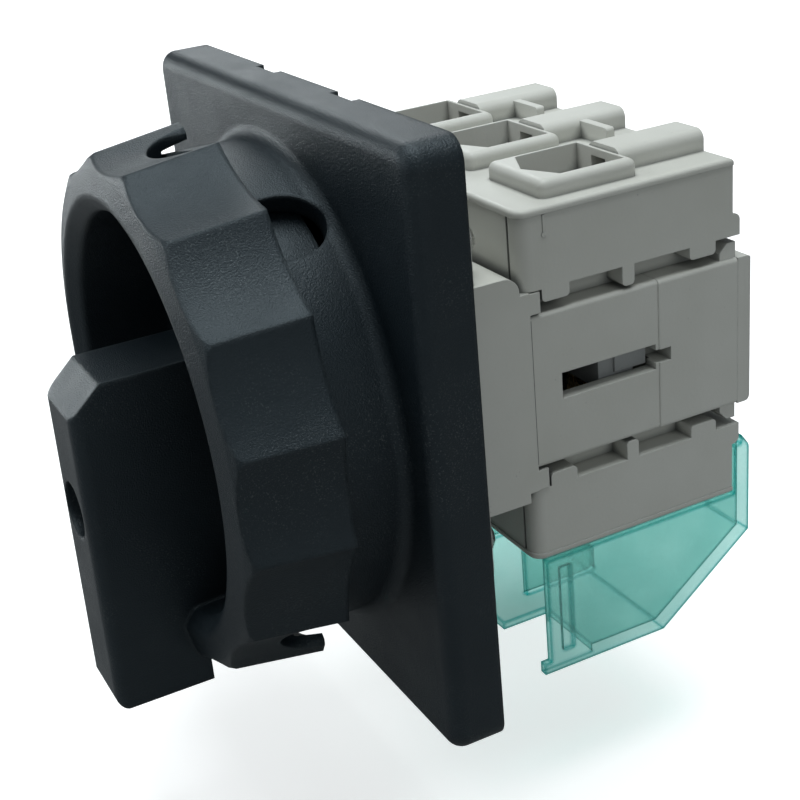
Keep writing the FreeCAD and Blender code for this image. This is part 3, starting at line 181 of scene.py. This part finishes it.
def edge_mask(tree, rounded, low=0.02, high=0.22):
    """1 near edges and 0 on flat stretches."""
    geometry = tree.nodes.new("ShaderNodeNewGeometry")
    dot = tree.nodes.new("ShaderNodeVectorMath")
    dot.operation = "DOT_PRODUCT"
    tree.links.new(rounded, dot.inputs[0])
    tree.links.new(geometry.outputs["Normal"], dot.inputs[1])
    return ranged(tree, dot.outputs["Value"], 1.0 - low, 1.0 - high)


def crevices(tree, reach):
    """1 in gaps and inner corners narrower than the reach, and 0 in the open: where painted shade goes."""
    node = tree.nodes.new("ShaderNodeAmbientOcclusion")
    node.samples = 8
    node.inputs["Distance"].default_value = reach
    return ranged(tree, node.outputs["AO"], low=0.75, high=0.3)


def bumped(tree, height, strength, distance, normal=None):
    """The normal with fine relief from a height pattern, on top of another normal if there is one."""
    node = tree.nodes.new("ShaderNodeBump")
    node.inputs["Strength"].default_value = strength
    node.inputs["Distance"].default_value = distance
    tree.links.new(height, node.inputs["Height"])
    if normal is not None:
        tree.links.new(normal, node.inputs["Normal"])
    return node.outputs["Normal"]


def plastic_tone(tree, place, rounded, deep, light, worn, dust, dust_from, dust_scale):
    """A cloudy tone with paler edges, worn unevenly, and specks of dust in patches."""
    tone = mixed(tree, clouds(tree, place, 60.0, detail=3.0), deep, light)
    wear = clouds(tree, place, 900.0, low=0.35, high=0.65)
    tone = mixed(tree, multiplied(tree, edge_mask(tree, rounded), wear), tone, worn)
    specks = clouds(tree, place, dust_scale, detail=2.0, low=dust_from, high=dust_from + 0.05)
    patches = clouds(tree, place, 90.0, detail=2.0, low=0.45, high=0.65)
    return mixed(tree, multiplied(tree, specks, patches), tone, dust)


def moulded_plastic(name, deep, light, worn, dust, roughness, grain, edge, dust_from=0.72,
                    dust_scale=2600.0, grain_scale=2300.0, grain_depth=0.06 * MM, crevice_shade=None):
    """Satin moulding with a spark-eroded grain; the last argument is the colour of painted shade in its gaps
    and inner corners.
    """
    made, tree, shader, place = new_material(name)
    rounded = edge_normal(tree, edge)
    tone = plastic_tone(tree, place, rounded, deep, light, worn, dust, dust_from, dust_scale)
    # Painted shade: gaps and inner corners are darkened towards that colour
    if crevice_shade:
        tone = mixed(tree, crevices(tree, reach=1.6 * MM), tone, crevice_shade)
    tree.links.new(tone, shader.inputs["Base Color"])
    gloss = clouds(tree, place, 140.0, detail=5.0, to_low=roughness - 0.05, to_high=roughness + 0.07)
    tree.links.new(gloss, shader.inputs["Roughness"])
    height = noise(tree, place, grain_scale, detail=3.0, roughness=0.6)
    tree.links.new(bumped(tree, height, grain, grain_depth, rounded), shader.inputs["Normal"])
    shader.inputs["Specular IOR Level"].default_value = 0.45
    return made


def black_plastic():
    made = moulded_plastic(
        "black_plastic",
        deep=(0.0045, 0.0083, 0.0118), light=(0.0075, 0.0122, 0.0158),
        worn=(0.034, 0.042, 0.046), dust=(0.05, 0.057, 0.06),
        roughness=0.37, grain=0.8, edge=0.75 * MM,
        dust_from=0.6, dust_scale=5200.0, grain_scale=5400.0, grain_depth=0.11 * MM)
    shader = made.node_tree.nodes["Principled BSDF"]
    shader.inputs["Specular Tint"].default_value = (0.8, 0.93, 1.0, 1.0)
    return made


def dark_plastic():
    return moulded_plastic(
        "dark_plastic",
        deep=(0.02, 0.02, 0.022), light=(0.03, 0.03, 0.033), worn=grey(0.07), dust=grey(0.16),
        roughness=0.5, grain=0.4, edge=0.2 * MM)


def light_grey_plastic():
    # Painted shade darkens its gaps and inner corners
    return moulded_plastic(
        "light_grey_plastic",
        deep=(0.55, 0.55, 0.505), light=(0.62, 0.62, 0.58),
        worn=(0.74, 0.745, 0.72), dust=(0.34, 0.34, 0.33),
        roughness=0.42, grain=0.3, edge=0.18 * MM, crevice_shade=(0.16, 0.165, 0.155))


def carrier_plastic():
    return moulded_plastic(
        "carrier_plastic",
        deep=(0.3, 0.31, 0.31), light=(0.37, 0.38, 0.38), worn=grey(0.5), dust=grey(0.2),
        roughness=0.45, grain=0.3, edge=0.15 * MM)


def seal_rubber():
    made, tree, shader, place = new_material("seal_rubber")
    tone = mixed(tree, noise(tree, place, 700.0), grey(0.012), (0.03, 0.03, 0.029))
    tree.links.new(tone, shader.inputs["Base Color"])
    shader.inputs["Roughness"].default_value = 0.75
    skin = bumped(tree, noise(tree, place, 4000.0), strength=0.3, distance=0.02 * MM)
    tree.links.new(skin, shader.inputs["Normal"])
    return made


def metal(name, deep, light, roughness, stretch):
    """Plated or rolled metal with fine drawing marks and a blotchy sheen."""
    made, tree, shader, place = new_material(name)
    tree.links.new(mixed(tree, clouds(tree, place, 260.0), deep, light), shader.inputs["Base Color"])
    shader.inputs["Metallic"].default_value = 1.0
    marks = noise(tree, place, 2200.0, detail=3.0, roughness=0.6, stretch=stretch)
    gloss = ranged(tree, marks, 0.3, 0.7, roughness - 0.06, roughness + 0.1)
    tree.links.new(gloss, shader.inputs["Roughness"])
    rounded = edge_normal(tree, 0.1 * MM)
    skin = bumped(tree, marks, strength=0.15, distance=0.01 * MM, normal=rounded)
    tree.links.new(skin, shader.inputs["Normal"])
    return made


def zinc_steel():
    return metal("zinc_steel", (0.56, 0.56, 0.55), (0.72, 0.72, 0.7), 0.28, stretch=(1.0, 0.15, 1.0))


def contact_brass():
    return metal("contact_brass", (0.62, 0.42, 0.2), (0.78, 0.58, 0.32), 0.25, stretch=(1.0, 1.0, 0.15))


def clear_tint(tree, place, rounded):
    """Pale teal, stronger at a glancing view and deepest along the edges, as a thick clear wall looks."""
    tint = mixed(tree, clouds(tree, place, 150.0, detail=3.0), (0.42, 0.72, 0.68), (0.54, 0.81, 0.77))
    glance = tree.nodes.new("ShaderNodeLayerWeight")
    glance.inputs["Blend"].default_value = 0.35
    tint = mixed(tree, ranged(tree, glance.outputs["Facing"], 0.45, 1.0), tint, (0.12, 0.5, 0.47))
    return mixed(tree, edge_mask(tree, rounded, low=0.003, high=0.035), tint, (0.0, 0.22, 0.2))


def teal_clear_plastic():
    """Clear tinted moulding with a satin skin: every wall tints what lies behind it."""
    made, tree, shader, place = new_material("teal_clear_plastic")
    rounded = edge_normal(tree, 0.7 * MM)
    tint = clear_tint(tree, place, rounded)
    tree.links.new(tint, shader.inputs["Base Color"])
    shader.inputs["Transmission Weight"].default_value = 0.86
    shader.inputs["IOR"].default_value = 1.03
    shader.inputs["Coat Weight"].default_value = 0.6
    shader.inputs["Coat Roughness"].default_value = 0.22
    flow = noise(tree, place, 180.0, detail=5.0, roughness=0.6, stretch=(1.0, 0.3, 1.0))
    tree.links.new(ranged(tree, flow, 0.3, 0.7, 0.1, 0.2), shader.inputs["Roughness"])
    skin = bumped(tree, noise(tree, place, 1500.0), strength=0.15, distance=0.03 * MM, normal=rounded)
    tree.links.new(skin, shader.inputs["Normal"])
    tree.links.new(skin, shader.inputs["Coat Normal"])
    lit_through(tree, shader, tint)
    return made


def lit_through(tree, shader, tint):
    """Lets light pass a clear plastic, tinted, instead of leaving a solid shadow behind it."""
    path = tree.nodes.new("ShaderNodeLightPath")
    clear = tree.nodes.new("ShaderNodeBsdfTransparent")
    tree.links.new(tint, clear.inputs["Color"])
    mix = tree.nodes.new("ShaderNodeMixShader")
    tree.links.new(path.outputs["Is Shadow Ray"], mix.inputs["Fac"])
    tree.links.new(shader.outputs["BSDF"], mix.inputs[1])
    tree.links.new(clear.outputs["BSDF"], mix.inputs[2])
    tree.links.new(mix.outputs["Shader"], tree.nodes["Material Output"].inputs["Surface"])


MATERIALS = {
    "black_plastic": black_plastic,
    "dark_plastic": dark_plastic,
    "light_grey_plastic": light_grey_plastic,
    "carrier_plastic": carrier_plastic,
    "seal_rubber": seal_rubber,
    "zinc_steel": zinc_steel,
    "contact_brass": contact_brass,
    "teal_clear_plastic": teal_clear_plastic,
}


def dress_nodes():
    """Gives every CAD node the material of its slot in the record, and returns the materials by slot."""
    made = {slot: make() for slot, make in MATERIALS.items()}
    for row in frame["record"]["subparts"]:
        mesh = frame["nodes"][row["node"]].data
        mesh.materials.clear()
        mesh.materials.append(made[row["material_slot"]])
    return made


# Pieces that the CAD solids leave out: drives in the screw heads, threads and moulding marks, and thin dark
# strips of painted shadow in the seams

def new_piece(name, shape, body, material):
    """A piece from a finished bmesh, which rides on a body."""
    bmesh.ops.recalc_face_normals(shape, faces=shape.faces)
    mesh = bpy.data.meshes.new(name)
    shape.to_mesh(mesh)
    shape.free()
    mesh.materials.append(material)
    piece = bpy.data.objects.new(name, mesh)
    bpy.context.scene.collection.objects.link(piece)
    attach(piece, body)


def circle_points(radius, segments, centre=(0.0, 0.0)):
    angles = [2 * math.pi * i / segments for i in range(segments)]
    return [(centre[0] + radius * math.cos(a), centre[1] + radius * math.sin(a)) for a in angles]


def cross_points(half, reach):
    """The twelve corners of a cross whose arms have that half width and reach."""
    points = []
    for quarter in range(4):
        turn = quarter * math.pi / 2
        for across, up in ((half, half), (half, reach), (-half, reach)):
            points.append((across * math.cos(turn) - up * math.sin(turn),
                           across * math.sin(turn) + up * math.cos(turn)))
    return points


def ring_of(shape, points, centre, depth):
    """Vertices at (across, up) points round a centre, in the plane across Y at that depth."""
    return [shape.verts.new((centre[0] + across, depth, centre[1] + up)) for across, up in points]


def walls_between(shape, first, second):
    for i in range(len(first)):
        following = (i + 1) % len(first)
        shape.faces.new((first[i], first[following], second[following], second[i]))


def edges_round(shape, ring):
    """The edges that join the vertices of a ring, which its walls have made already."""
    return [shape.edges.get((vert, ring[(i + 1) % len(ring)])) for i, vert in enumerate(ring)]


def cross_drive_head(name, centre, face, outwards, radius, body, material):
    """The outer layer of a screw head, rounded at its rim, with a cross recess that narrows inwards."""
    height, rim, recess_foot = 0.7 * MM, 0.25 * MM, 0.1 * MM
    cut = 0.3 * rim
    half, reach, narrowing = 0.16 * radius, 0.62 * radius, 0.7
    shape = bmesh.new()
    profile = ((radius, 0.0), (radius, height - rim), (radius - cut, height - cut), (radius - rim, height))
    rings = [ring_of(shape, circle_points(size, segments=48), centre, face + outwards * depth)
             for size, depth in profile]
    for low, high in zip(rings, rings[1:]):
        walls_between(shape, low, high)
    mouth, bottom = [
        ring_of(shape, cross_points(scale * half, scale * reach), centre, face + outwards * depth)
        for scale, depth in ((1.0, height), (narrowing, recess_foot))]
    walls_between(shape, mouth, bottom)
    face_edges = edges_round(shape, rings[-1]) + edges_round(shape, mouth)
    bmesh.ops.triangle_fill(shape, use_beauty=True, edges=face_edges)
    shape.faces.new(bottom)
    new_piece(name, shape, body, material)


def screw_thread(name, centre, start, end, body, material):
    """A helical ridge round a screw's tail, running out at both ends."""
    steps = 36
    run_out_steps = steps / 3
    sunk, half_width = 0.97 * THREAD_CORE, 0.38 * THREAD_PITCH
    count = int(steps * (end - start) / THREAD_PITCH)
    shape = bmesh.new()
    rows = []
    for i in range(count + 1):
        angle = 2 * math.pi * i / steps
        middle = start + THREAD_PITCH * i / steps
        share = min(1.0, i / run_out_steps, (count - i) / run_out_steps)
        tip = THREAD_CORE + (THREAD_CREST - THREAD_CORE) * share
        across, up = math.cos(angle), math.sin(angle)
        rows.append([
            shape.verts.new((centre[0] + radius * across, middle + offset, centre[1] + radius * up))
            for radius, offset in ((sunk, -half_width), (tip, 0.0), (sunk, half_width))])
    for low, high in zip(rows, rows[1:]):
        for k in range(3):
            following = (k + 1) % 3
            shape.faces.new((low[k], low[following], high[following], high[k]))
    new_piece(name, shape, body, material)


def raised_on_wall(shape, outline, wall, rise):
    """A thin plate on a wall across X, from its outline in (y, z)."""
    foot = [shape.verts.new((wall, y, z)) for y, z in outline]
    top = [shape.verts.new((wall + rise, y, z)) for y, z in outline]
    walls_between(shape, foot, top)
    shape.faces.new(top)


def seam_shadow(name, side, material):
    """A painted shadow: a thin dark strip down one side, barely proud of the wall, for the shaded gap behind
    the front housing's rear edge.
    """
    low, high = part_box("middle_housing")
    wall = high.x if side > 0 else low.x
    width, rise, inset = 0.14 * MM, 0.015 * MM, 0.5 * MM
    outline = [(low.y, low.z + inset), (low.y + width, low.z + inset),
               (low.y + width, high.z - inset), (low.y, high.z - inset)]
    shape = bmesh.new()
    raised_on_wall(shape, outline, wall, side * rise)
    new_piece(name, shape, "switch", material)


def gate_mark(name, wall, y, z, material):
    """A fine raised line down a side wall from (y, z), ending in a small round dot."""
    half, rise, dot = 0.11 * MM, 0.1 * MM, 0.3 * MM
    foot = z - GATE_MARK_LENGTH
    line = [(y - half, foot), (y + half, foot), (y + half, z), (y - half, z)]
    spot = circle_points(dot, segments=16, centre=(y, foot - 0.9 * dot))
    shape = bmesh.new()
    for outline in (line, spot):
        raised_on_wall(shape, outline, wall, rise)
    new_piece(name, shape, "switch", material)


def screw_heads(steel):
    low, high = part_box("handle_screw")
    centre = ((low.x + high.x) / 2, (low.z + high.z) / 2)
    cross_drive_head("handle_screw_head", centre, low.y, -1, (high.x - low.x) / 2, "handle", steel)
    for place in ("upper", "lower"):
        low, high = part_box(f"{place}_terminal_screws")
        radius = (high.z - low.z) / 2
        poles = {"left": low.x + radius, "middle": (low.x + high.x) / 2, "right": high.x - radius}
        for pole, x in poles.items():
            name = f"{place}_screw_head_{pole}"
            cross_drive_head(name, (x, low.z + radius), high.y, 1, radius, "switch", steel)


def fixing_threads(steel):
    low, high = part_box("fixing_screws")
    sides = {"left": low.x + FIXING_HEAD_RADIUS, "right": high.x - FIXING_HEAD_RADIUS}
    levels = {"lower": low.z + FIXING_HEAD_RADIUS, "upper": high.z - FIXING_HEAD_RADIUS}
    for side, x in sides.items():
        for level, z in levels.items():
            name = f"{level}_{side}_thread"
            screw_thread(name, (x, z), high.y - THREAD_START, high.y - THREAD_END, "switch", steel)


def small_pieces(made):
    """Everything that the scene adds to the CAD nodes."""
    screw_heads(made["zinc_steel"])
    fixing_threads(made["zinc_steel"])
    low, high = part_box("upper_terminal_block")
    gate_mark("block_gate_mark", high.x - GATE_MARK_SUNK, low.y + GATE_MARK_BACK, high.z - GATE_MARK_DOWN,
              made["light_grey_plastic"])
    # Painted shadow: dark strips down both sides, where the seam behind the front housing is shaded
    seam_shadow("seam_shadow_right", 1, made["dark_plastic"])
    seam_shadow("seam_shadow_left", -1, made["dark_plastic"])


# Stage: backdrop, floor, lamps and camera

def seen_by_camera(tree, through_plastic=1.0):
    """1 for what the camera sees directly and a share of it for what it sees through clear plastic."""
    path = tree.nodes.new("ShaderNodeLightPath")
    seen = tree.nodes.new("ShaderNodeMath")
    seen.operation = "MULTIPLY_ADD"
    tree.links.new(path.outputs["Is Transmission Ray"], seen.inputs[0])
    seen.inputs[1].default_value = through_plastic
    tree.links.new(path.outputs["Is Camera Ray"], seen.inputs[2])
    return seen.outputs["Value"]


def backdrop():
    """White for what the camera sees, a dim cool surrounding for the light on the object."""
    world = bpy.data.worlds.new("backdrop")
    world.use_nodes = True
    tree = world.node_tree
    white = tree.nodes.new("ShaderNodeBackground")
    white.inputs["Color"].default_value = (*grey(1.0), 1.0)
    surrounding = tree.nodes.new("ShaderNodeBackground")
    surrounding.inputs["Color"].default_value = SURROUNDING_COLOUR
    surrounding.inputs["Strength"].default_value = SURROUNDING_STRENGTH
    mix = tree.nodes.new("ShaderNodeMixShader")
    tree.links.new(seen_by_camera(tree), mix.inputs["Fac"])
    tree.links.new(surrounding.outputs["Background"], mix.inputs[1])
    tree.links.new(white.outputs["Background"], mix.inputs[2])
    tree.links.new(mix.outputs["Shader"], tree.nodes["World Output"].inputs["Surface"])
    bpy.context.scene.world = world


def floor_material():
    """Nearly white with a soft shadow in the view, duller as a reflector, and white where it runs out."""
    made, tree, shader, place = new_material("floor")
    tone = mixed(tree, seen_by_camera(tree), grey(0.25), grey(0.8))
    tree.links.new(tone, shader.inputs["Base Color"])
    shader.inputs["Roughness"].default_value = 0.9
    distance = tree.nodes.new("ShaderNodeVectorMath")
    distance.operation = "LENGTH"
    tree.links.new(place, distance.inputs[0])
    far = ranged(tree, distance.outputs["Value"], 0.25, 0.7)
    glow = tree.nodes.new("ShaderNodeEmission")
    tree.links.new(mixed(tree, far, grey(0.55), grey(1.0)), glow.inputs["Color"])
    tree.links.new(seen_by_camera(tree, through_plastic=0.5), glow.inputs["Strength"])
    lift = tree.nodes.new("ShaderNodeAddShader")
    tree.links.new(glow.outputs["Emission"], lift.inputs[0])
    tree.links.new(shader.outputs["BSDF"], lift.inputs[1])
    tree.links.new(lift.outputs["Shader"], tree.nodes["Material Output"].inputs["Surface"])
    return made


def floor():
    """A pale sheet just below the place that the cover reaches when it is pulled off."""
    travel = next(joint["range_m"][1] for joint in frame["record"]["behaviour"]["joints"]
                  if joint["name"] == "cover_slide")
    low, half = cad_box[0].z - travel - FLOOR_GAP, FLOOR_HALF_SIDE
    mesh = bpy.data.meshes.new("floor")
    corners = [(-half, -half, low), (half, -half, low), (half, half, low), (-half, half, low)]
    mesh.from_pydata(corners, [], [(0, 1, 2, 3)])
    mesh.materials.append(floor_material())
    sheet = bpy.data.objects.new("floor", mesh)
    bpy.context.scene.collection.objects.link(sheet)


def lamps():
    middle = (cad_box[0] + cad_box[1]) / 2
    for name, (place, side, watts) in LAMPS.items():
        data = bpy.data.lights.new(name, "AREA")
        data.shape = "SQUARE"
        data.size = side
        data.energy = watts
        data.color = LAMP_COLOUR
        made = bpy.data.objects.new(name, data)
        made.location = place
        made.rotation_euler = (middle - Vector(place)).to_track_quat("-Z", "Y").to_euler()
        made.visible_camera = False
        bpy.context.scene.collection.objects.link(made)


def camera_turn():
    """The camera's axes as a matrix: across and up in its picture, and back from what it looks at."""
    back = Vector((
        math.sin(CAMERA_AZIMUTH) * math.cos(CAMERA_ELEVATION),
        -math.cos(CAMERA_AZIMUTH) * math.cos(CAMERA_ELEVATION),
        math.sin(CAMERA_ELEVATION),
    ))
    level = (-back).cross(Vector((0.0, 0.0, 1.0))).normalized()
    upright = level.cross(-back)
    across = math.cos(CAMERA_ROLL) * level + math.sin(CAMERA_ROLL) * upright
    up = math.cos(CAMERA_ROLL) * upright - math.sin(CAMERA_ROLL) * level
    return Matrix((across, up, back)).transposed().to_4x4()


def camera():
    data = bpy.data.cameras.new("camera")
    data.sensor_width = CAMERA_SENSOR
    data.lens = CAMERA_LENS
    data.shift_x, data.shift_y = CAMERA_SHIFT
    data.clip_start = CAMERA_NEAREST
    made = bpy.data.objects.new("camera", data)
    made.matrix_world = Matrix.Translation(CAMERA_PLACE) @ camera_turn()
    bpy.context.scene.collection.objects.link(made)
    bpy.context.scene.camera = made


made_materials = dress_nodes()
small_pieces(made_materials)
backdrop()
floor()
lamps()
camera()
bpy.context.scene.view_settings.view_transform = "Standard"
